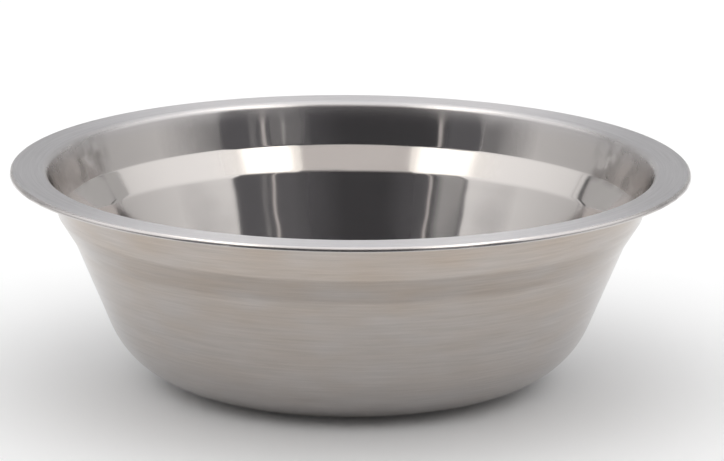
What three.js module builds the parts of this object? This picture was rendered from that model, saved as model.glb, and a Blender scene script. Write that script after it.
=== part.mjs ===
// A flanged steel bowl for a pet, pressed from one sheet, on a rubber ring bonded into its base.
// Millimetres, +Z up. The origin is on the floor, under the middle of the bowl.
import * as THREE from 'three';

// Sheet of the bowl
const SHEET = 0.6;

// Radial sizes of the bowl, on the sheet's outer face and from line to line of its sharp corners
const MOUTH_DIAMETER = 215.8;
const FLANGE_WIDTH = 12.1;
const COLLAR_DRAFT = 4.7;
const STEP_INSET = 5.7;
const WALL_DRAFT = 20.9;

// Heights of the bowl, from the flange's top down to the underside of its base
const COLLAR_HEIGHT = 15.7;
const STEP_HEIGHT = 9.1;
const WALL_HEIGHT = 50.5;

// Bends of the sheet, as the radius on the hollow side of each
const FOOT_BEND = 33.4;
const STEP_LOWER_BEND = 9;
const STEP_UPPER_BEND = 3;
const FLANGE_BEND = 2.4;

// Lip, where the flange's edge is turned down, with its drop from the flange's top
const LIP_BEND = 0.9;
const LIP_DROP = 1.6;

// Recess pressed up into the base for the ring
const LAND_WIDTH = 7;
const RECESS_RISE = 1.8;
const RECESS_DRAFT = 1;
const RECESS_BEND = 0.8;

// Non-slip ring, bonded to the recess's roof
const RING_WIDTH = 9;
const RING_STAND = 1.2;
const RING_FIT = 0.3;
const RING_EDGE = 0.8;
const TREAD_LANDS = 3;
const TREAD_GROOVE_WIDTH = 1.2;
const TREAD_GROOVE_DEPTH = 0.6;

// Facets of the round faces
const SEGMENTS = 72;
const CHORD_TOLERANCE = 0.15;

// Levels above the floor
const baseLevel = RING_STAND;
const recessRoof = baseLevel + RECESS_RISE;
const stepLower = baseLevel + WALL_HEIGHT;
const stepUpper = stepLower + STEP_HEIGHT;
const flangeTop = stepUpper + COLLAR_HEIGHT;

// Radii of the sharp corners on the outer face
const mouthRadius = MOUTH_DIAMETER / 2;
const rimRadius = mouthRadius + FLANGE_WIDTH;
const stepUpperRadius = mouthRadius - COLLAR_DRAFT;
const stepLowerRadius = stepUpperRadius - STEP_INSET;
const footRadius = stepLowerRadius - WALL_DRAFT;

// How far the foot's bend reaches along the base, which leaves the flat inside it
const wallLean = Math.atan2(WALL_DRAFT, WALL_HEIGHT);
const footReach = (FOOT_BEND + SHEET) * Math.tan((Math.PI / 2 - wallLean) / 2);
const baseRadius = footRadius - footReach;
const recessRadius = baseRadius - LAND_WIDTH - RECESS_DRAFT;

/** Number of chords that follow an arc within the tolerance. */
function chords(angle, radius) {
  const widest = 2 * Math.acos(Math.max(0, 1 - CHORD_TOLERANCE / radius));
  return Math.max(1, Math.ceil(Math.abs(angle) / widest));
}

/** Points of one bend of the sheet: each with its place on the outer face and the normal to the inner face. */
function bendPoints(before, corner, after, hollowRadius) {
  const arriving = corner.clone().sub(before).normalize();
  const leaving = after.clone().sub(corner).normalize();
  const turn = Math.atan2(arriving.cross(leaving), arriving.dot(leaving));
  const radius = turn > 0 ? hollowRadius + SHEET : hollowRadius;
  const start = corner.clone().addScaledVector(arriving, -radius * Math.tan(Math.abs(turn) / 2));
  const side = new THREE.Vector2(-arriving.y, arriving.x);
  const centre = start.clone().addScaledVector(side, Math.sign(turn) * radius);
  const count = chords(turn, hollowRadius + SHEET);
  const points = [];
  for (let i = 0; i <= count; i++) {
    const angle = (turn * i) / count;
    const place = start.clone().rotateAround(centre, angle);
    points.push({ place, normal: side.clone().rotateAround(new THREE.Vector2(), angle) });
  }
  return points;
}

/** The sheet's line on its outer face, from the middle of the base out to the free edge of the lip. */
function sheetLine() {
  const up = new THREE.Vector2(0, 1);
  const flangeUnder = flangeTop - SHEET;
  const lipInside = rimRadius - SHEET;
  const corners = [
    { at: new THREE.Vector2(0, recessRoof) },
    { at: new THREE.Vector2(recessRadius, recessRoof), bend: RECESS_BEND },
    { at: new THREE.Vector2(recessRadius + RECESS_DRAFT, baseLevel), bend: RECESS_BEND },
    { at: new THREE.Vector2(footRadius, baseLevel), bend: FOOT_BEND },
    { at: new THREE.Vector2(stepLowerRadius, stepLower), bend: STEP_LOWER_BEND },
    { at: new THREE.Vector2(stepUpperRadius, stepUpper), bend: STEP_UPPER_BEND },
    { at: new THREE.Vector2(mouthRadius, flangeUnder), bend: FLANGE_BEND },
    { at: new THREE.Vector2(lipInside, flangeUnder), bend: LIP_BEND },
    { at: new THREE.Vector2(lipInside, flangeTop - LIP_DROP) },
  ];
  const line = [{ place: corners[0].at, normal: up }];
  for (let i = 1; i < corners.length - 1; i++) {
    line.push(...bendPoints(corners[i - 1].at, corners[i].at, corners[i + 1].at, corners[i].bend));
  }
  line.push({ place: corners[corners.length - 1].at, normal: new THREE.Vector2(1, 0) });
  return line;
}

/** Closed outline of the sheet: along its outer face and back along its inner face. */
function sheetOutline() {
  const line = sheetLine();
  const outer = line.map(({ place }) => place);
  const inner = line.map(({ place, normal }) => place.clone().addScaledVector(normal, SHEET));
  return [...outer, ...inner.reverse()];
}

/** Closed outline of the ring: flat top against the recess, eased edges and a grooved tread. */
function ringOutline() {
  const outside = recessRadius - RING_FIT;
  const inside = outside - RING_WIDTH;
  const treadInside = inside + RING_EDGE;
  const treadOutside = outside - RING_EDGE;
  const grooves = TREAD_LANDS - 1;
  const landWidth = (treadOutside - treadInside - grooves * TREAD_GROOVE_WIDTH) / TREAD_LANDS;
  const points = [new THREE.Vector2(inside, RING_EDGE), new THREE.Vector2(treadInside, 0)];
  for (let i = 0; i < grooves; i++) {
    const near = treadInside + (i + 1) * landWidth + i * TREAD_GROOVE_WIDTH;
    const far = near + TREAD_GROOVE_WIDTH;
    points.push(new THREE.Vector2(near, 0), new THREE.Vector2(near, TREAD_GROOVE_DEPTH));
    points.push(new THREE.Vector2(far, TREAD_GROOVE_DEPTH), new THREE.Vector2(far, 0));
  }
  points.push(new THREE.Vector2(treadOutside, 0), new THREE.Vector2(outside, RING_EDGE));
  points.push(new THREE.Vector2(outside, recessRoof - RING_EDGE));
  points.push(new THREE.Vector2(treadOutside, recessRoof), new THREE.Vector2(inside, recessRoof));
  points.push(points[0].clone());
  return points;
}

/** One turned piece: its outline swept round the bowl's axis. */
function turned(name, outline, material) {
  const geometry = new THREE.LatheGeometry(outline, SEGMENTS);
  geometry.rotateX(Math.PI / 2);
  const mesh = new THREE.Mesh(geometry, material);
  mesh.name = name;
  return mesh;
}

const steel = new THREE.MeshStandardMaterial({ color: 0xb4b0ab, roughness: 0.28, metalness: 1 });
const rubber = new THREE.MeshStandardMaterial({ color: 0x2c2c2e, roughness: 0.85, metalness: 0 });

const bowl = new THREE.Group();
bowl.add(turned('bowl_body', sheetOutline(), steel));
bowl.add(turned('non_slip_ring', ringOutline(), rubber));

export default bowl;
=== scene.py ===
"""A pressed stainless steel pet bowl with a flat flange, on a rubber ring, in a white light tent."""

import logging
import math
from dataclasses import dataclass
from enum import Enum
from functools import partial
from typing import Any, Optional, Union

import bpy
from mathutils import Matrix, Vector


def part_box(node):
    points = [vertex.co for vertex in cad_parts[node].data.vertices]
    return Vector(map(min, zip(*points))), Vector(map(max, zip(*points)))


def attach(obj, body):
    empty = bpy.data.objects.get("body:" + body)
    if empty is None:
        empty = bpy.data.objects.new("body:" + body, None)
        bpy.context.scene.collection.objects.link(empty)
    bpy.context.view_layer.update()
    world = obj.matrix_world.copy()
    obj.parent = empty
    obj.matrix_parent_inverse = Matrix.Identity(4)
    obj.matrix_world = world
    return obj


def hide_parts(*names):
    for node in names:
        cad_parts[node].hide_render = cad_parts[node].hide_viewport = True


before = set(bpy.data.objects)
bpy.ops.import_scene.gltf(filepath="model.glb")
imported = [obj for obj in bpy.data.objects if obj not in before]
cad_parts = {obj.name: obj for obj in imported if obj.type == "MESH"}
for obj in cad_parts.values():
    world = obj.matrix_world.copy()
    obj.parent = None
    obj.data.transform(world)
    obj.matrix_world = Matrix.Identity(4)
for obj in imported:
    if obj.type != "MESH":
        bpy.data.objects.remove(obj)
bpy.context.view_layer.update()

MM = 0.001

# Points closer than this are one point of a mesh
WELD = 0.002 * MM

Socket = bpy.types.NodeSocket
Source = Union[bpy.types.Node, bpy.types.NodeSocket]
Span = tuple[float, float]

log = logging.getLogger("pet_bowl")


def linear(hex_colour: str) -> tuple[float, float, float, float]:
    """Turn an sRGB colour into the linear one that shaders take.

    Args:
        hex_colour: Six hex digits, such as "C8C4C0".

    Returns:
        Linear red, green, blue and an alpha of 1.
    """
    parts = [int(hex_colour[i:i + 2], 16) / 255 for i in (0, 2, 4)]
    red, green, blue = [p / 12.92 if p <= 0.04045 else ((p + 0.055) / 1.055) ** 2.4 for p in parts]
    return red, green, blue, 1.0


def add_node(tree: bpy.types.NodeTree, kind: str, settings: Optional[dict[str, Any]] = None,
             **inputs: Any) -> bpy.types.Node:
    """Add a node to a tree, with its settings, its constant inputs and its links.

    Args:
        tree: The node tree to add to.
        kind: Blender's name of the node type.
        settings: Properties of the node, set before its inputs.
        inputs: Values, sockets or nodes, a node for its first output, by the input's name, with _ for a
            space, or as i0, i1 and on by place.

    Returns:
        The new node.
    """
    node = tree.nodes.new(kind)
    for name, value in (settings or {}).items():
        setattr(node, name, value)
    for name, value in inputs.items():
        by_place = name[0] == "i" and name[1:].isdigit()
        socket = node.inputs[int(name[1:])] if by_place else node.inputs[name.replace("_", " ")]
        source = value.outputs[0] if isinstance(value, bpy.types.Node) else value
        if isinstance(source, Socket):
            tree.links.new(source, socket)
        else:
            socket.default_value = source
    return node


class Mark(str, Enum):
    """Attributes that a mesh carries, for the trees and the finishes to read."""

    BEND = "bend"
    CHORDS = "chords"
    COVER = "cover"
    GRAIN = "grain"
    OUTER = "outer_face"
    POLISH = "polish"


@dataclass(frozen=True)
class DrawnSteel:
    """Stainless steel sheet, deep drawn: mirror polished in the bowl, satin turned elsewhere.

    The polish gives sharp reflections that waver a little with the drawn sheet. On the collar it keeps
    faint upright marks of the drawing, and it is smudged at the two sides, where hands take hold. The satin
    was turned round the bowl, so its fine lines run round it and stretch each highlight across them. The
    outside keeps faint warm smears from the drawing, drawn out round the bowl as well, most of them at the
    front and high up.
    """

    name: str = "drawn stainless steel"
    slot: str = "stainless_steel"

    # Colours
    flange_hex: str = "CECCCE"
    # The outside is the same satin steel as the flange, darkened as painted shade for the shaded floor that
    # it reflects
    shaded_outside_hex: str = "C1BFBF"
    smear_hex: str = "B8ACA1"
    inside_hex: str = "CFCAC7"
    smudge_hex: str = "AEA9A6"

    # Roughness of each finish, and how strongly the lines stretch the highlights
    flange_roughness: float = 0.42
    outside_roughness: float = 0.23
    mirror_roughness: float = 0.09
    smudge_roughness: float = 0.3
    across_grain: float = 0.85

    # Turned lines: the real ones are about 0.1 mm apart, drawn coarser or the picture would lose them
    grain_spacing: float = 0.7 * MM
    grain_length: float = 30 * MM
    grain_relief: float = 0.008 * MM
    grain_shade: float = 0.075
    grain_contrast: Span = (0.3, 0.7)

    # Smears: their size, and the heights and the sines of the angle from +X over which they set in
    smear_height: float = 9 * MM
    smear_length: float = 32 * MM
    smear_heights: Span = (-25 * MM, 70 * MM)
    smear_sines: Span = (0.25, -0.65)
    smear_contrast: Span = (0.32, 0.68)
    smear_least: float = 0.55

    # Slow waves of the drawn sheet
    draw_wave: float = 10 * MM
    draw_relief: float = 0.05 * MM

    # Upright drawing marks, and the heights over which they set in
    mark_spacing: float = 3 * MM
    mark_length: float = 60 * MM
    mark_relief: float = 0.007 * MM
    mark_heights: Span = (59 * MM, 62 * MM)

    # Smudges: their size, and the cosines of the angle from +X or -X over which they set in
    smudge_size: float = 9 * MM
    smudge_cosines: Span = (0.84, 0.88)
    smudge_contrast: Span = (0.38, 0.62)

    def material(self, radius: float) -> bpy.types.Material:
        """Build the steel.

        Args:
            radius: Radius of the bowl, which sets how far round it a line of the grain runs.

        Returns:
            The material.
        """
        steel = bpy.data.materials.new(self.name)
        steel.use_nodes = True
        tree = steel.node_tree
        shader = tree.nodes["Principled BSDF"]
        shader.inputs["Metallic"].default_value = 1.0
        shader.inputs["Anisotropic"].default_value = self.across_grain
        # A quarter turn, because the lines run round the axis and the highlights stretch across them
        shader.inputs["Anisotropic Rotation"].default_value = 0.25
        finish = SteelFinish(tree, self, radius)
        round_axis = add_node(tree, "ShaderNodeTangent", {"direction_type": "RADIAL", "axis": "Z"})
        tree.links.new(finish.colour(), shader.inputs["Base Color"])
        tree.links.new(finish.roughness(), shader.inputs["Roughness"])
        tree.links.new(finish.normal(), shader.inputs["Normal"])
        tree.links.new(round_axis.outputs[0], shader.inputs["Tangent"])
        return steel


class SteelFinish:
    """The patterns of the steel, which read the marks that the pressed sheet carries."""

    def __init__(self, tree: bpy.types.NodeTree, steel: DrawnSteel, radius: float) -> None:
        """Read the marks and lay out what several parts of the finish share.

        Args:
            tree: The material's node tree.
            steel: The steel's colours and sizes.
            radius: Radius of the bowl.
        """
        self.add = partial(add_node, tree)
        self.steel = steel
        self.radius = radius
        self.polish = self.add("ShaderNodeAttribute", {"attribute_name": Mark.POLISH.value}).outputs["Fac"]
        self.outer = self.add("ShaderNodeAttribute", {"attribute_name": Mark.OUTER.value}).outputs["Fac"]
        self.grain = self.add("ShaderNodeAttribute", {"attribute_name": Mark.GRAIN.value}).outputs["Vector"]
        self.place = self.add("ShaderNodeTexCoord").outputs["Object"]
        self.height = self.add("ShaderNodeSeparateXYZ", Vector=self.place).outputs["Z"]
        self.way = self.add("ShaderNodeSeparateXYZ", Vector=self.grain).outputs
        self.lines = self.sheet_pattern(steel.grain_spacing, steel.grain_length, Detail=3.0, Roughness=0.65)
        low, high = steel.mark_heights
        self.collar = self.add("ShaderNodeMapRange", i0=self.height, i1=low, i2=high, i4=self.polish)
        self.smudged = self.smudges()

    def sheet_pattern(self, upward: float, around: float, **noise: float) -> Socket:
        """Lay an uneven pattern that follows the sheet.

        Args:
            upward: Size of its patches up the sheet.
            around: Size of its patches round the bowl.
            noise: Inputs of its noise.

        Returns:
            The pattern.
        """
        patches = self.radius / around
        along = self.add("ShaderNodeMapping", Vector=self.grain, Scale=(1 / upward, patches, patches))
        return self.add("ShaderNodeTexNoise", Vector=along, Scale=1.0, **noise).outputs[0]

    def smudges(self) -> Socket:
        """Smudge the collar's polish at the two sides of the bowl.

        Returns:
            How far each place is smudged.
        """
        aside = self.add("ShaderNodeMath", {"operation": "ABSOLUTE"}, i0=self.way["Y"])
        start, full = self.steel.smudge_cosines
        held = self.add("ShaderNodeMapRange", i0=aside, i1=start, i2=full, i4=self.collar)
        scale = 1 / self.steel.smudge_size
        prints = self.add("ShaderNodeTexNoise", Vector=self.place, Scale=scale, Detail=2.0)
        faint, strong = self.steel.smudge_contrast
        return self.add("ShaderNodeMapRange", i0=prints, i1=faint, i2=strong, i4=held).outputs[0]

    def smears(self) -> Socket:
        """Smear the outside, most at the front and high up.

        Returns:
            How far each place is smeared.
        """
        steel = self.steel
        start, full = steel.smear_sines
        front = self.add("ShaderNodeMapRange", i0=self.way["Z"], i1=start, i2=full)
        low, high = steel.smear_heights
        upper = self.add("ShaderNodeMapRange", i0=self.height, i1=low, i2=high, i4=front)
        patches = self.sheet_pattern(steel.smear_height, steel.smear_length, Detail=2.0)
        faint, strong = steel.smear_contrast
        uneven = self.add("ShaderNodeMapRange", i0=patches, i1=faint, i2=strong, i3=steel.smear_least)
        return self.add("ShaderNodeMath", {"operation": "MULTIPLY"}, i0=uneven, i1=upper).outputs[0]

    def colour(self) -> Socket:
        """Colour the flange, the outside, darkened below the flange by painted shade, with its smears, and
        the inside with its smudges.

        Returns:
            The colour.
        """
        steel = self.steel
        blend = {"data_type": "RGBA"}
        # The outside's colour holds painted shade: it is darker than the flange's same satin
        outside = self.add("ShaderNodeMix", blend, i0=self.smears(), i6=linear(steel.shaded_outside_hex),
                           i7=linear(steel.smear_hex))
        satin = self.add("ShaderNodeMix", blend, i0=self.outer, i6=linear(steel.flange_hex),
                         i7=outside.outputs[2])
        faint, strong = steel.grain_contrast
        shade = self.add("ShaderNodeMapRange", i0=self.lines, i1=faint, i2=strong,
                         i3=1 - steel.grain_shade, i4=1 + steel.grain_shade)
        turned = self.add("ShaderNodeVectorMath", {"operation": "SCALE"}, i0=satin.outputs[2], Scale=shade)
        mirror = self.add("ShaderNodeMix", blend, i0=self.smudged, i6=linear(steel.inside_hex),
                          i7=linear(steel.smudge_hex))
        whole = self.add("ShaderNodeMix", blend, i0=self.polish, i6=turned, i7=mirror.outputs[2])
        return whole.outputs[2]

    def roughness(self) -> Socket:
        """Roughen the flange, the outside and the inside, each in its own way.

        Returns:
            The roughness.
        """
        steel = self.steel
        satin = self.add("ShaderNodeMapRange", i0=self.outer, i3=steel.flange_roughness,
                         i4=steel.outside_roughness)
        mirror = self.add("ShaderNodeMapRange", i0=self.smudged, i3=steel.mirror_roughness,
                          i4=steel.smudge_roughness)
        return self.add("ShaderNodeMapRange", i0=self.polish, i3=satin, i4=mirror).outputs[0]

    def normal(self) -> Socket:
        """Raise the slow waves, the upright marks of the collar and the turned lines of the satin.

        Returns:
            The normal.
        """
        steel = self.steel
        waves = self.add("ShaderNodeTexNoise", Vector=self.place, Scale=1 / steel.draw_wave, Detail=0.0)
        wavy = self.add("ShaderNodeBump", Distance=steel.draw_relief, Height=waves)
        marks = self.sheet_pattern(steel.mark_length, steel.mark_spacing, Detail=1.0)
        marked = self.add("ShaderNodeBump", Strength=self.collar, Distance=steel.mark_relief, Height=marks,
                          Normal=wavy)
        satin = self.add("ShaderNodeMapRange", i0=self.polish, i3=1.0, i4=0.0)
        turned = self.add("ShaderNodeBump", Strength=satin, Distance=steel.grain_relief, Height=self.lines,
                          Normal=marked)
        return turned.outputs[0]


@dataclass(frozen=True)
class MouldedRubber:
    """Black rubber from a fine-sparked mould: dull, with a faint grain that breaks up its highlights."""

    name: str = "moulded black rubber"
    slot: str = "black_rubber"
    colour_hex: str = "2C2C2E"
    roughness: float = 0.82
    ior: float = 1.52

    # The real grit is about 0.1 mm, drawn coarser or no picture would show it
    grit: float = 0.35 * MM
    relief: float = 0.03 * MM

    def material(self) -> bpy.types.Material:
        """Build the rubber.

        Returns:
            The material.
        """
        rubber = bpy.data.materials.new(self.name)
        rubber.use_nodes = True
        tree = rubber.node_tree
        shader = tree.nodes["Principled BSDF"]
        shader.inputs["Base Color"].default_value = linear(self.colour_hex)
        shader.inputs["Roughness"].default_value = self.roughness
        shader.inputs["IOR"].default_value = self.ior
        place = add_node(tree, "ShaderNodeTexCoord").outputs["Object"]
        grit = add_node(tree, "ShaderNodeTexNoise", Vector=place, Scale=1 / self.grit, Detail=1.0)
        bump = add_node(tree, "ShaderNodeBump", Distance=self.relief, Height=grit)
        tree.links.new(bump.outputs[0], shader.inputs["Normal"])
        return rubber


@dataclass(frozen=True)
class Corner:
    """A sharp corner of a turned piece's section, with the bend that rounds it and its chords."""

    radius: float
    height: float
    bend: float = 0.0
    chords: int = 1

    @property
    def place(self) -> Vector:
        """The corner as radius and height."""
        return Vector((self.radius, self.height))


def left_of(heading: Vector) -> Vector:
    """Unit vector to the left of a heading."""
    return Vector((-heading.y, heading.x)).normalized()


def shifted(before: Vector, corner: Vector, after: Vector, shift: float) -> Vector:
    """Find the same corner on a line that runs beside the first.

    Args:
        before: The point before the corner.
        corner: The corner.
        after: The point after the corner.
        shift: How far to the left the other line runs.

    Returns:
        The other line's corner.
    """
    first = left_of(corner - before)
    second = left_of(after - corner)
    return corner + (first + second) * shift / (1 + first.dot(second))


def section_object(name: str, corners: list[Corner], closed: bool) -> bpy.types.Object:
    """Make the wire that a turning tree starts from.

    Args:
        name: Name of the object and its mesh.
        corners: The section's corners in order, in the half plane of +X and Z.
        closed: Whether the last corner joins the first.

    Returns:
        The object, in the scene, with each corner's bend and chords as attributes.
    """
    mesh = bpy.data.meshes.new(name)
    edges = [(i, i + 1) for i in range(len(corners) - 1)]
    if closed:
        edges.append((len(corners) - 1, 0))
    mesh.from_pydata([(c.radius, 0, c.height) for c in corners], edges, [])
    bends = mesh.attributes.new(Mark.BEND.value, "FLOAT", "POINT")
    bends.data.foreach_set("value", [c.bend for c in corners])
    chords = mesh.attributes.new(Mark.CHORDS.value, "INT", "POINT")
    chords.data.foreach_set("value", [c.chords for c in corners])
    piece = bpy.data.objects.new(name, mesh)
    bpy.context.scene.collection.objects.link(piece)
    return piece


class TurningTree:
    """A Geometry Nodes tree that bends a section's corners and turns it round the axis."""

    def __init__(self, name: str, sizes: dict[str, str]) -> None:
        """Start the tree.

        Args:
            name: Name of the tree.
            sizes: Socket type of each input, by the input's name.
        """
        self.tree = bpy.data.node_groups.new(name, "GeometryNodeTree")
        self.add = partial(add_node, self.tree)
        face = self.tree.interface
        face.new_socket("Geometry", in_out="INPUT", socket_type="NodeSocketGeometry")
        self.keys: dict[str, str] = {}
        for size, kind in {"Segments": "NodeSocketInt", **sizes}.items():
            self.keys[size] = face.new_socket(size, in_out="INPUT", socket_type=kind).identifier
        face.new_socket("Geometry", in_out="OUTPUT", socket_type="NodeSocketGeometry")
        self.given = self.add("NodeGroupInput").outputs

    def bent_section(self) -> bpy.types.Node:
        """Round the section's corners by their bends.

        Returns:
            The node that gives the curve of the bent section.
        """
        bend = self.add("GeometryNodeInputNamedAttribute", {"data_type": "FLOAT"}, Name=Mark.BEND.value)
        chords = self.add("GeometryNodeInputNamedAttribute", {"data_type": "INT"}, Name=Mark.CHORDS.value)
        wire = self.add("GeometryNodeMeshToCurve", Mesh=self.given["Geometry"])
        return self.add("GeometryNodeFilletCurve", {"mode": "POLY"}, Curve=wire, Count=chords, Radius=bend)

    def grid(self, rows: Source) -> tuple[bpy.types.Node, ...]:
        """Lay out the turned surface as a grid, a row for each point of the section.

        Args:
            rows: Number of rows.

        Returns:
            The nodes that give the grid, each vertex's row, and the cosine and sine of its angle.
        """
        segments = self.given["Segments"]
        columns = self.add("ShaderNodeMath", {"operation": "ADD"}, i0=segments, i1=1)
        sheet = self.add("GeometryNodeMeshGrid", Vertices_X=rows, Vertices_Y=columns)
        index = self.add("GeometryNodeInputIndex")
        # Half a place further on, so that no rounding error moves a vertex to the row before its own
        within = self.add("ShaderNodeMath", {"operation": "ADD"}, i0=index, i1=0.5)
        passed = self.add("ShaderNodeMath", {"operation": "DIVIDE"}, i0=within, i1=columns)
        row = self.add("ShaderNodeMath", {"operation": "FLOOR"}, i0=passed)
        first = self.add("ShaderNodeMath", {"operation": "MULTIPLY"}, i0=row, i1=columns)
        column = self.add("ShaderNodeMath", {"operation": "SUBTRACT"}, i0=index, i1=first)
        # Turning backwards puts the faces' fronts on the outside
        share = self.add("ShaderNodeMath", {"operation": "DIVIDE"}, i0=column, i1=segments)
        angle = self.add("ShaderNodeMath", {"operation": "MULTIPLY"}, i0=share, i1=-2 * math.pi)
        cosine = self.add("ShaderNodeMath", {"operation": "COSINE"}, i0=angle)
        sine = self.add("ShaderNodeMath", {"operation": "SINE"}, i0=angle)
        return sheet, row, cosine, sine

    def finish(self, grid: Source, radius: Source, height: Source, cosine: Source, sine: Source,
               marks: dict[Mark, tuple[str, Source]], crease: float) -> None:
        """Turn the grid round the axis, weld it and end the tree.

        Args:
            grid: The grid.
            radius: Each vertex's distance from the axis.
            height: Each vertex's height.
            cosine: Cosine of each vertex's angle.
            sine: Sine of each vertex's angle.
            marks: Attributes to leave on the vertices, as a data type and a field by their mark.
            crease: Angle between two faces, in degrees, above which the edge between them shows.
        """
        for mark, (kind, value) in marks.items():
            grid = self.add("GeometryNodeStoreNamedAttribute", {"data_type": kind, "domain": "POINT"},
                            Geometry=grid, Name=mark.value, Value=value)
        along = self.add("ShaderNodeMath", {"operation": "MULTIPLY"}, i0=radius, i1=cosine)
        across = self.add("ShaderNodeMath", {"operation": "MULTIPLY"}, i0=radius, i1=sine)
        place = self.add("ShaderNodeCombineXYZ", X=along, Y=across, Z=height)
        turned = self.add("GeometryNodeSetPosition", Geometry=grid, Position=place)
        welded = self.add("GeometryNodeMergeByDistance", Geometry=turned, Distance=WELD)
        edge = self.add("GeometryNodeInputMeshEdgeAngle")
        soft = self.add("FunctionNodeCompare", {"data_type": "FLOAT", "operation": "LESS_EQUAL"}, i0=edge,
                        i1=math.radians(crease))
        faces = self.add("GeometryNodeSetShadeSmooth", {"domain": "FACE"}, Geometry=welded,
                         Shade_Smooth=True)
        creases = self.add("GeometryNodeSetShadeSmooth", {"domain": "EDGE"}, Geometry=faces,
                           Shade_Smooth=soft)
        whole = self.add("GeometryNodeRealizeInstances", Geometry=creases)
        dressed = self.add("GeometryNodeSetMaterial", Geometry=whole, Material=self.given["Material"])
        self.add("NodeGroupOutput", i0=dressed)

    def turn(self, piece: bpy.types.Object, values: dict[str, Any]) -> None:
        """Run the tree on a section's wire and keep the result as the piece's plain mesh.

        Args:
            piece: The wire's object, which becomes the piece.
            values: Value of each input, by the input's name.
        """
        modifier = piece.modifiers.new(self.tree.name, "NODES")
        modifier.node_group = self.tree
        for name, value in values.items():
            modifier[self.keys[name]] = value
        depsgraph = bpy.context.evaluated_depsgraph_get()
        mesh = bpy.data.meshes.new_from_object(piece.evaluated_get(depsgraph), depsgraph=depsgraph)
        piece.modifiers.remove(modifier)
        wire = piece.data
        mesh.name = piece.name
        piece.data = mesh
        bpy.data.meshes.remove(wire)


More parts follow.
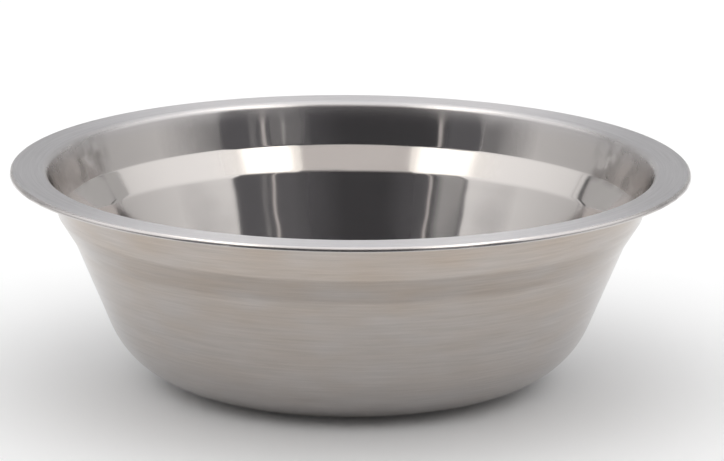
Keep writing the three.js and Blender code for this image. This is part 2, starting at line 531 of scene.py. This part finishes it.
@dataclass
class PressedBowl:
    """The bowl: one steel sheet drawn into base, foot, wall, step and collar, with a flange and its lip."""

    node: str = "bowl_body"

    # Sheet, and widths from the rim inwards, between the sharp corners of its outer face
    sheet: float = 0.6 * MM
    flange_width: float = 12.1 * MM
    collar_draft: float = 4.7 * MM
    step_inset: float = 5.7 * MM
    wall_draft: float = 20.9 * MM

    # Heights, from the flange's top down to the underside of the base
    collar_height: float = 15.7 * MM
    step_height: float = 9.1 * MM
    wall_height: float = 50.5 * MM

    # Bends, as the radius on the hollow side of each, with their chords
    foot_bend: float = 33.4 * MM
    foot_chords: int = 28
    step_lower_bend: float = 9 * MM
    step_upper_bend: float = 3 * MM
    step_chords: int = 6
    flange_bend: float = 2.4 * MM
    flange_chords: int = 14
    lip_bend: float = 0.9 * MM
    lip_chords: int = 10
    lip_drop: float = 1.6 * MM

    # Recess of the base
    land_width: float = 7 * MM
    recess_rise: float = 1.8 * MM
    recess_draft: float = 1 * MM
    recess_bend: float = 0.8 * MM
    recess_chords: int = 6

    # Polish, which fades out over the flange's bend, and the rim's edge, which is buffed less
    polish_inset: float = 2.6 * MM
    polish_fade: float = 3.7 * MM
    buffed_width: float = 1 * MM
    buffed_share: float = 0.75

    # Mesh
    row_length: float = 2 * MM
    segments: int = 216
    crease: float = 50.0
    finish: DrawnSteel = DrawnSteel()

    def __post_init__(self) -> None:
        """Take the rim and the top from the frame and work the other levels and radii out from them."""
        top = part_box(self.node)[1]
        self.rim_radius = top.x
        self.flange_top = top.z
        self.mouth_radius = self.rim_radius - self.flange_width
        self.step_upper_radius = self.mouth_radius - self.collar_draft
        self.step_lower_radius = self.step_upper_radius - self.step_inset
        self.foot_radius = self.step_lower_radius - self.wall_draft
        self.step_upper = self.flange_top - self.collar_height
        self.step_lower = self.step_upper - self.step_height
        self.base_level = self.step_lower - self.wall_height
        self.recess_roof = self.base_level + self.recess_rise
        lean = math.atan2(self.wall_draft, self.wall_height)
        foot_reach = (self.foot_bend + self.sheet) * math.tan((math.pi / 2 - lean) / 2)
        self.recess_radius = self.foot_radius - foot_reach - self.land_width - self.recess_draft

    def outer_face(self) -> list[Corner]:
        """Lay out the sheet's outer face.

        Returns:
            Its corners, from the middle of the base to the lip's free edge.
        """
        flange_under = self.flange_top - self.sheet
        lip_inside = self.rim_radius - self.sheet
        recess_edge = self.recess_radius + self.recess_draft
        return [
            Corner(0, self.recess_roof),
            Corner(self.recess_radius, self.recess_roof, self.recess_bend, self.recess_chords),
            Corner(recess_edge, self.base_level, self.recess_bend, self.recess_chords),
            Corner(self.foot_radius, self.base_level, self.foot_bend, self.foot_chords),
            Corner(self.step_lower_radius, self.step_lower, self.step_lower_bend, self.step_chords),
            Corner(self.step_upper_radius, self.step_upper, self.step_upper_bend, self.step_chords),
            Corner(self.mouth_radius, flange_under, self.flange_bend, self.flange_chords),
            Corner(lip_inside, flange_under, self.lip_bend, self.lip_chords),
            Corner(lip_inside, self.flange_top - self.lip_drop),
        ]

    def middle_line(self) -> list[Corner]:
        """Lay out the line midway through the sheet.

        Returns:
            Its corners, from the middle of the base to the lip's free edge.
        """
        half = self.sheet / 2
        outer = self.outer_face()
        line = [Corner(0, self.recess_roof + half)]
        for before, corner, after in zip(outer, outer[1:], outer[2:]):
            place = shifted(before.place, corner.place, after.place, half)
            line.append(Corner(place.x, place.y, corner.bend + half, corner.chords))
        line.append(Corner(self.rim_radius - half, outer[-1].height))
        return line

    def cut_line(self, turning: TurningTree, run: Source) -> bpy.types.Node:
        """Cut the bent line's straights into rows, so that smooth shading stays true up to each bend.

        Args:
            turning: The tree.
            run: How far along the line each of its points is.

        Returns:
            The node that gives the line.
        """
        add = turning.add
        following = add("ShaderNodeMath", {"operation": "ADD"}, i0=add("GeometryNodeInputIndex"), i1=1)
        onward = add("GeometryNodeFieldAtIndex", {"data_type": "FLOAT", "domain": "POINT"}, Index=following,
                     Value=run)
        length = add("ShaderNodeMath", {"operation": "SUBTRACT"}, i0=onward, i1=run)
        rows = add("ShaderNodeMath", {"operation": "DIVIDE"}, i0=length, i1=turning.given["Row length"])
        whole_rows = add("ShaderNodeMath", {"operation": "FLOOR"}, i0=rows)
        cuts = add("ShaderNodeMath", {"operation": "MAXIMUM"}, i0=whole_rows, i1=0)
        return add("GeometryNodeSubdivideCurve", Curve=turning.bent_section(), Cuts=cuts)

    def polish(self, turning: TurningTree, inner: Source, radius: Source) -> bpy.types.Node:
        """Polish the inner face: the bowl up to the flange's bend and, in part, the rim's edge.

        Args:
            turning: The tree.
            inner: 1 on the inner face and 0 on the outer one.
            radius: Distance from the axis.

        Returns:
            The node that gives a share from 0 for satin to 1 for the mirror.
        """
        add = turning.add
        given = turning.given
        past = add("ShaderNodeMath", {"operation": "SUBTRACT"}, i0=radius, i1=given["Polish edge"])
        bowl = add("ShaderNodeMapRange", i0=past, i2=given["Polish fade"], i3=1.0, i4=0.0)
        at_rim = add("ShaderNodeMath", {"operation": "GREATER_THAN"}, i0=radius, i1=given["Buffed edge"])
        rim = add("ShaderNodeMath", {"operation": "MULTIPLY"}, i0=at_rim, i1=given["Buffed share"])
        either = add("ShaderNodeMath", {"operation": "MAXIMUM"}, i0=bowl, i1=rim)
        return add("ShaderNodeMath", {"operation": "MULTIPLY"}, i0=inner, i1=either)

    def sheet_tree(self) -> TurningTree:
        """Build the tree that thickens the bent line to a sheet and turns it.

        Returns:
            The tree.
        """
        numbers = ("Sheet", "Row length", "Polish edge", "Polish fade", "Buffed edge", "Buffed share")
        inputs = {name: "NodeSocketFloat" for name in numbers}
        turning = TurningTree("Pressed sheet", {**inputs, "Material": "NodeSocketMaterial"})
        add = turning.add
        run = add("GeometryNodeSplineParameter").outputs["Length"]
        line = self.cut_line(turning, run)
        points = add("GeometryNodeAttributeDomainSize", {"component": "CURVE"}, Geometry=line)

        # The outline goes out along the outer face and comes back along the inner one
        rows = add("ShaderNodeMath", {"operation": "MULTIPLY"}, i0=points, i1=2)
        grid, row, cosine, sine = turning.grid(rows)
        last = add("ShaderNodeMath", {"operation": "SUBTRACT"}, i0=rows, i1=1)
        back = add("ShaderNodeMath", {"operation": "SUBTRACT"}, i0=last, i1=row)
        at = add("ShaderNodeMath", {"operation": "MINIMUM"}, i0=row, i1=back)
        inner = add("ShaderNodeMath", {"operation": "GREATER_THAN"}, i0=row, i1=at)
        outer = add("ShaderNodeMath", {"operation": "SUBTRACT"}, i0=1, i1=inner)

        # Each face lies half the sheet's thickness to one side of the line
        vectors = {"data_type": "FLOAT_VECTOR", "domain": "POINT"}
        position = add("GeometryNodeSampleIndex", vectors, Geometry=line, Index=at,
                       Value=add("GeometryNodeInputPosition"))
        tangent = add("GeometryNodeSampleIndex", vectors, Geometry=line, Index=at,
                      Value=add("GeometryNodeInputTangent"))
        place = add("ShaderNodeSeparateXYZ", Vector=position).outputs
        heading = add("ShaderNodeSeparateXYZ", Vector=tangent).outputs
        way = add("ShaderNodeMath", {"operation": "SUBTRACT"}, i0=inner, i1=0.5)
        side = add("ShaderNodeMath", {"operation": "MULTIPLY"}, i0=way, i1=turning.given["Sheet"])
        outward = add("ShaderNodeMath", {"operation": "MULTIPLY"}, i0=heading["Z"], i1=side)
        upward = add("ShaderNodeMath", {"operation": "MULTIPLY"}, i0=heading["X"], i1=side)
        radius = add("ShaderNodeMath", {"operation": "SUBTRACT"}, i0=place["X"], i1=outward)
        height = add("ShaderNodeMath", {"operation": "ADD"}, i0=place["Z"], i1=upward)

        reach = add("GeometryNodeSampleIndex", {"data_type": "FLOAT", "domain": "POINT"}, Geometry=line,
                    Index=at, Value=run)
        grain = add("ShaderNodeCombineXYZ", X=reach, Y=cosine, Z=sine)
        turning.finish(grid, radius, height, cosine, sine, {
            Mark.GRAIN: ("FLOAT_VECTOR", grain),
            Mark.POLISH: ("FLOAT", self.polish(turning, inner, radius)),
            Mark.OUTER: ("FLOAT", outer),
        }, self.crease)
        return turning

    def build(self) -> bpy.types.Object:
        """Press the bowl, dress it and put it in the CAD node's place.

        Returns:
            The bowl.
        """
        bowl = section_object("pressed_bowl", self.middle_line(), closed=False)
        self.sheet_tree().turn(bowl, {
            "Segments": self.segments,
            "Sheet": self.sheet,
            "Row length": self.row_length,
            "Polish edge": self.mouth_radius - self.polish_inset,
            "Polish fade": self.polish_fade,
            "Buffed edge": self.rim_radius - self.buffed_width,
            "Buffed share": self.buffed_share,
            "Material": self.finish.material(self.rim_radius),
        })
        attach(bowl, "root")
        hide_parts(self.node)
        return bowl


@dataclass
class NonSlipRing:
    """The rubber ring bonded into the recess of the base, with a grooved tread."""

    node: str = "non_slip_ring"
    width: float = 9 * MM
    edge: float = 0.8 * MM
    edge_chords: int = 5
    lands: int = 3
    groove_width: float = 1.2 * MM
    groove_depth: float = 0.6 * MM
    groove_bend: float = 0.2 * MM
    groove_chords: int = 3
    segments: int = 144
    crease: float = 35.0
    finish: MouldedRubber = MouldedRubber()

    def __post_init__(self) -> None:
        """Take the ring's outside, floor and top from the frame."""
        low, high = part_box(self.node)
        self.outside = high.x
        self.inside = self.outside - self.width
        self.floor = low.z
        self.top = high.z

    def edge_corner(self, radius: float, height: float) -> Corner:
        """Make a corner that is eased as an edge of the ring."""
        return Corner(radius, height, self.edge, self.edge_chords)

    def groove_corner(self, radius: float, height: float) -> Corner:
        """Make a corner that is eased as a groove's."""
        return Corner(radius, height, self.groove_bend, self.groove_chords)

    def section(self) -> list[Corner]:
        """Lay out the ring's section.

        Returns:
            Its corners, against the clock from its inner edge.
        """
        tread = self.width - 2 * self.edge
        grooves = self.lands - 1
        land = (tread - grooves * self.groove_width) / self.lands
        deep = self.floor + self.groove_depth
        corners = [self.edge_corner(self.inside, self.floor)]
        for i in range(grooves):
            near = self.inside + self.edge + (i + 1) * land + i * self.groove_width
            far = near + self.groove_width
            groove = ((near, self.floor), (near, deep), (far, deep), (far, self.floor))
            corners += [self.groove_corner(radius, height) for radius, height in groove]
        corners += [self.edge_corner(self.outside, self.floor), self.edge_corner(self.outside, self.top)]
        corners.append(self.groove_corner(self.inside, self.top))
        return corners

    def ring_tree(self) -> TurningTree:
        """Build the tree that turns the closed section.

        Returns:
            The tree.
        """
        turning = TurningTree("Moulded ring", {"Material": "NodeSocketMaterial"})
        add = turning.add
        section = turning.bent_section()
        points = add("GeometryNodeAttributeDomainSize", {"component": "CURVE"}, Geometry=section)
        rows = add("ShaderNodeMath", {"operation": "ADD"}, i0=points, i1=1)
        grid, row, cosine, sine = turning.grid(rows)
        at = add("ShaderNodeMath", {"operation": "MODULO"}, i0=row, i1=points)
        position = add("GeometryNodeSampleIndex", {"data_type": "FLOAT_VECTOR", "domain": "POINT"},
                       Geometry=section, Index=at, Value=add("GeometryNodeInputPosition"))
        place = add("ShaderNodeSeparateXYZ", Vector=position).outputs
        turning.finish(grid, place["X"], place["Z"], cosine, sine, {}, self.crease)
        return turning

    def build(self) -> bpy.types.Object:
        """Mould the ring, dress it and put it in the CAD node's place.

        Returns:
            The ring.
        """
        ring = section_object("moulded_ring", self.section(), closed=True)
        self.ring_tree().turn(ring, {"Segments": self.segments, "Material": self.finish.material()})
        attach(ring, "root")
        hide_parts(self.node)
        return ring


def dull_material(name: str, colour_hex: str) -> bpy.types.Material:
    """Build a material without any shine, for the stage.

    Args:
        name: Its name.
        colour_hex: Its colour.

    Returns:
        The material.
    """
    material = bpy.data.materials.new(name)
    material.use_nodes = True
    shader = material.node_tree.nodes["Principled BSDF"]
    shader.inputs["Base Color"].default_value = linear(colour_hex)
    shader.inputs["Roughness"].default_value = 1.0
    shader.inputs["Specular IOR Level"].default_value = 0.0
    return material


class PanelKind(Enum):
    """What a panel of the tent is, as its colour and its own light."""

    DARK_CLOTH = ("47474A", 0.0)
    GREY_CLOTH = ("69696D", 0.0)
    SHADE_CLOTH = ("8A8A8C", 0.0)
    PALE_CLOTH = ("BEBEBE", 0.0)
    BACK_CLOTH = ("CCCCCC", 0.0)
    WHITE_CLOTH = ("ECE8E6", 0.0)
    DIFFUSER = ("FFFDF8", 0.4)
    LAMP = ("FFFDF8", 1.8)

    def material(self) -> bpy.types.Material:
        """Build the material of this kind's panels, which are clear where they cover nothing.

        Returns:
            The material.
        """
        colour, light = self.value
        cloth = dull_material("tent " + self.name.lower().replace("_", " "), colour)
        tree = cloth.node_tree
        shader = tree.nodes["Principled BSDF"]
        shader.inputs["Emission Color"].default_value = linear(colour)
        shader.inputs["Emission Strength"].default_value = light
        cover = add_node(tree, "ShaderNodeAttribute", {"attribute_name": Mark.COVER.value})
        tree.links.new(cover.outputs["Fac"], shader.inputs["Alpha"])
        return cloth


@dataclass(frozen=True)
class Panel:
    """A panel of the tent, by the bearings and elevations that it covers, in degrees, seen from the bowl.

    Bearings are from the camera's side, and grow towards +X. Its edges are soft, each over its own angle:
    the edges at the low and the high bearing, then the lower and the upper edge. A panel of a higher layer
    hangs in front of the lower ones. One that shades darkens the floor too, and the others only show in
    the steel.
    """

    name: str
    kind: PanelKind
    bearings: Span
    elevations: Span
    soft: tuple[float, float, float, float]
    layer: int
    shades: bool = False

    def cover(self, bearing: float, rise: float) -> float:
        """How much of the light the panel stops.

        Args:
            bearing: Bearing of a place on the panel.
            rise: Elevation of that place.

        Returns:
            A share from 0 at the very edge to 1 within the soft edges.
        """
        west, east = self.bearings
        low, high = self.elevations
        insets = (bearing - west, east - bearing, rise - low, high - rise)
        return math.prod(min(1.0, max(0.0, inset / soft)) for inset, soft in zip(insets, self.soft))


@dataclass
class LightTent:
    """The white tent round the bowl: a pale floor, soft white light all round and a dark mouth in front."""

    radius: float = 1.3
    layer_gap: float = 0.01
    step: float = 1.0
    floor_radius: float = 15.0
    floor_drop: float = 0.02 * MM
    floor_hex: str = "FAFAFA"

    # The walls' light, with the sines of the elevations between which it grows
    wall_hex: str = "FFFFFF"
    horizon_light: float = 0.56
    top_light: float = 1.25
    light_rise: Span = (0.05, 0.74)

    panels: tuple[Panel, ...] = (
        Panel("front roof", PanelKind.WHITE_CLOTH, (-36, 30), (34, 68), (2, 2, 3, 4), 0),
        Panel("sill", PanelKind.DARK_CLOTH, (-50, 60), (9, 33), (10, 6, 8, 6), 0, shades=True),
        Panel("mouth", PanelKind.DARK_CLOTH, (-57.8, 58.5), (-2, 54), (1.5, 1.5, 1, 12), 1),
        Panel("right curtain", PanelKind.GREY_CLOTH, (3, 58.5), (-2, 54), (26, 1.5, 1, 12), 2),
        Panel("right wing", PanelKind.SHADE_CLOTH, (57, 87), (-2, 29), (1, 30, 1, 4), 3),
        Panel("right fold", PanelKind.PALE_CLOTH, (41, 44.5), (-2, 46), (3, 3, 1, 5), 3),
        Panel("right sheer", PanelKind.SHADE_CLOTH, (18, 36), (-2, 30), (4, 1.5, 1, 3), 3),
        Panel("right slit", PanelKind.PALE_CLOTH, (28.3, 30.3), (-2, 30), (0.8, 0.8, 1, 3), 4),
        Panel("right gap", PanelKind.WHITE_CLOTH, (37.2, 39.2), (-2, 47), (0.7, 0.7, 1, 5), 4),
        Panel("left curtain", PanelKind.GREY_CLOTH, (-57.8, -39), (-2, 54), (1.5, 4, 1, 12), 2),
        Panel("left drape", PanelKind.GREY_CLOTH, (-42, -16), (27, 51), (4, 22, 4, 12), 3),
        Panel("left wing", PanelKind.SHADE_CLOTH, (-84, -57), (-2, 29), (20, 1, 1, 4), 3),
        Panel("left hem", PanelKind.PALE_CLOTH, (-57, -41), (29.2, 51), (2, 5, 1.6, 12), 4),
        Panel("left gap", PanelKind.WHITE_CLOTH, (-40, -38), (-2, 47), (0.7, 0.7, 1, 5), 4),
        Panel("right diffuser", PanelKind.DIFFUSER, (27, 80), (42, 68), (1, 30, 7, 3), 5),
        Panel("left diffuser", PanelKind.DIFFUSER, (-92, -33), (42, 68), (30, 1, 7, 3), 5),
        Panel("right lamp", PanelKind.LAMP, (30.5, 62), (45, 65), (9, 5, 8, 3), 6),
        Panel("left lamp", PanelKind.LAMP, (-69.5, -35.5), (45, 65), (4, 8, 8, 3), 6),
        Panel("right side lamp", PanelKind.LAMP, (62, 125), (58, 78), (6, 6, 6, 6), 6),
        Panel("left side lamp", PanelKind.LAMP, (-125, -70), (58, 78), (6, 6, 6, 6), 6),
        Panel("back wall", PanelKind.BACK_CLOTH, (119.5, 236.7), (-2, 60), (0.8, 0.8, 1, 30), 1),
        Panel("right back gap", PanelKind.DARK_CLOTH, (126.6, 128.8), (14, 24), (0.6, 0.6, 2, 2), 2),
        Panel("left back gap", PanelKind.DARK_CLOTH, (-125.3, -122.5), (13.5, 50), (0.5, 0.5, 2, 10), 2),
        Panel("left back seam", PanelKind.GREY_CLOTH, (-120.3, -118.9), (13.5, 50), (1.2, 1.2, 2, 10), 2),
    )

    def stage_piece(self, name: str, corners: list[tuple[float, float, float]],
                    faces: list[tuple[int, ...]], material: bpy.types.Material) -> bpy.types.Object:
        """Put a piece of the stage in the scene.

        Args:
            name: Its name.
            corners: Its vertices.
            faces: Its faces, by the places of their vertices.
            material: Its material.

        Returns:
            The piece.
        """
        mesh = bpy.data.meshes.new(name)
        mesh.from_pydata(corners, [], faces)
        mesh.materials.append(material)
        piece = bpy.data.objects.new(name, mesh)
        bpy.context.scene.collection.objects.link(piece)
        return piece

    def panel(self, panel: Panel, material: bpy.types.Material) -> bpy.types.Object:
        """Make one panel as a patch of a ball round the bowl.

        Args:
            panel: The panel's kind and reach.
            material: The material of its kind.

        Returns:
            The panel, which shows in the bowl but not to the camera.
        """
        radius = self.radius - panel.layer * self.layer_gap
        step = min(self.step, min(panel.soft) / 2)
        west, east = panel.bearings
        low, high = panel.elevations
        across = math.ceil((east - west) / step)
        up = math.ceil((high - low) / step)
        corners = []
        cover = []
        for j in range(up + 1):
            rise = low + (high - low) * j / up
            level = radius * math.cos(math.radians(rise))
            height = radius * math.sin(math.radians(rise))
            for i in range(across + 1):
                bearing = west + (east - west) * i / across
                turn = math.radians(bearing)
                corners.append((level * math.sin(turn), -level * math.cos(turn), height))
                cover.append(panel.cover(bearing, rise))
        row = across + 1
        faces = [(j * row + i, (j + 1) * row + i, (j + 1) * row + i + 1, j * row + i + 1)
                 for j in range(up) for i in range(across)]
        cloth = self.stage_piece("tent " + panel.name, corners, faces, material)
        covers = cloth.data.attributes.new(Mark.COVER.value, "FLOAT", "POINT")
        covers.data.foreach_set("value", cover)
        cloth.visible_camera = False
        cloth.visible_diffuse = panel.shades
        cloth.visible_shadow = False
        return cloth

    def floor(self) -> bpy.types.Object:
        """Lay the pale floor, a hair below the ring.

        Returns:
            The floor.
        """
        square = ((-1, -1), (1, -1), (1, 1), (-1, 1))
        corners = [(x * self.floor_radius, y * self.floor_radius, -self.floor_drop) for x, y in square]
        paper = dull_material("white paper floor", self.floor_hex)
        return self.stage_piece("floor", corners, [(0, 1, 2, 3)], paper)

    def light(self) -> None:
        """Light the tent's white walls, brighter towards the top."""
        world = bpy.data.worlds.new("white tent")
        world.use_nodes = True
        tree = world.node_tree
        toward = add_node(tree, "ShaderNodeTexCoord").outputs["Generated"]
        height = add_node(tree, "ShaderNodeSeparateXYZ", Vector=toward).outputs["Z"]
        low, high = self.light_rise
        strength = add_node(tree, "ShaderNodeMapRange", {"interpolation_type": "SMOOTHSTEP"}, i0=height,
                            i1=low, i2=high, i3=self.horizon_light, i4=self.top_light)
        wall = tree.nodes["Background"]
        wall.inputs["Color"].default_value = linear(self.wall_hex)
        tree.links.new(strength.outputs[0], wall.inputs["Strength"])
        bpy.context.scene.world = world

    def build(self) -> None:
        """Lay the floor, light the walls and hang the panels."""
        self.floor()
        self.light()
        materials = {kind: kind.material() for kind in PanelKind}
        for panel in self.panels:
            self.panel(panel, materials[panel.kind])


@dataclass
class PhotoCamera:
    """The photograph's camera: a long lens, a little above the bowl, leaning by a third of a degree.

    Angles are in degrees. The rim's middle lies to the right of the picture's middle and above it by the
    two lengths given, at the distance given.
    """

    focal_px: float = 4500.0
    picture_px: float = 724.0
    sensor_mm: float = 36.0
    elevation: float = 13.82
    distance: float = 1587.995 * MM
    rim_right: float = -4.165 * MM
    rim_up: float = 22.936 * MM
    lean: float = 0.3646
    clip_end: float = 60.0

    def build(self, rim_height: float) -> bpy.types.Object:
        """Set the camera up.

        Args:
            rim_height: Height of the rim's middle, which the camera's place is measured from.

        Returns:
            The camera.
        """
        rise = math.radians(self.elevation)
        right = Vector((1, 0, 0))
        up = Vector((0, math.sin(rise), math.cos(rise)))
        ahead = Vector((0, math.cos(rise), -math.sin(rise)))
        rim = Vector((0, 0, rim_height))
        turn = Matrix((right, up, -ahead)).transposed() @ Matrix.Rotation(math.radians(self.lean), 3, "Z")
        data = bpy.data.cameras.new("photo camera")
        data.sensor_fit = "HORIZONTAL"
        data.sensor_width = self.sensor_mm
        data.lens = self.focal_px / self.picture_px * self.sensor_mm
        data.clip_end = self.clip_end
        camera = bpy.data.objects.new("photo camera", data)
        camera.location = rim - self.rim_right * right - self.rim_up * up - self.distance * ahead
        camera.rotation_euler = turn.to_euler()
        bpy.context.scene.collection.objects.link(camera)
        bpy.context.scene.camera = camera
        return camera


def main() -> None:
    """Build the camera, the bowl, its ring and the tent, in that order."""
    logging.basicConfig(level=logging.INFO, format="%(name)s: %(message)s")
    bpy.context.scene.view_settings.view_transform = "Standard"
    bowl = PressedBowl()
    PhotoCamera().build(bowl.flange_top)
    for piece in (bowl.build(), NonSlipRing().build()):
        log.info("%s: %d faces", piece.name, len(piece.data.polygons))
    LightTent().build()


if __name__ == "__main__":
    main()
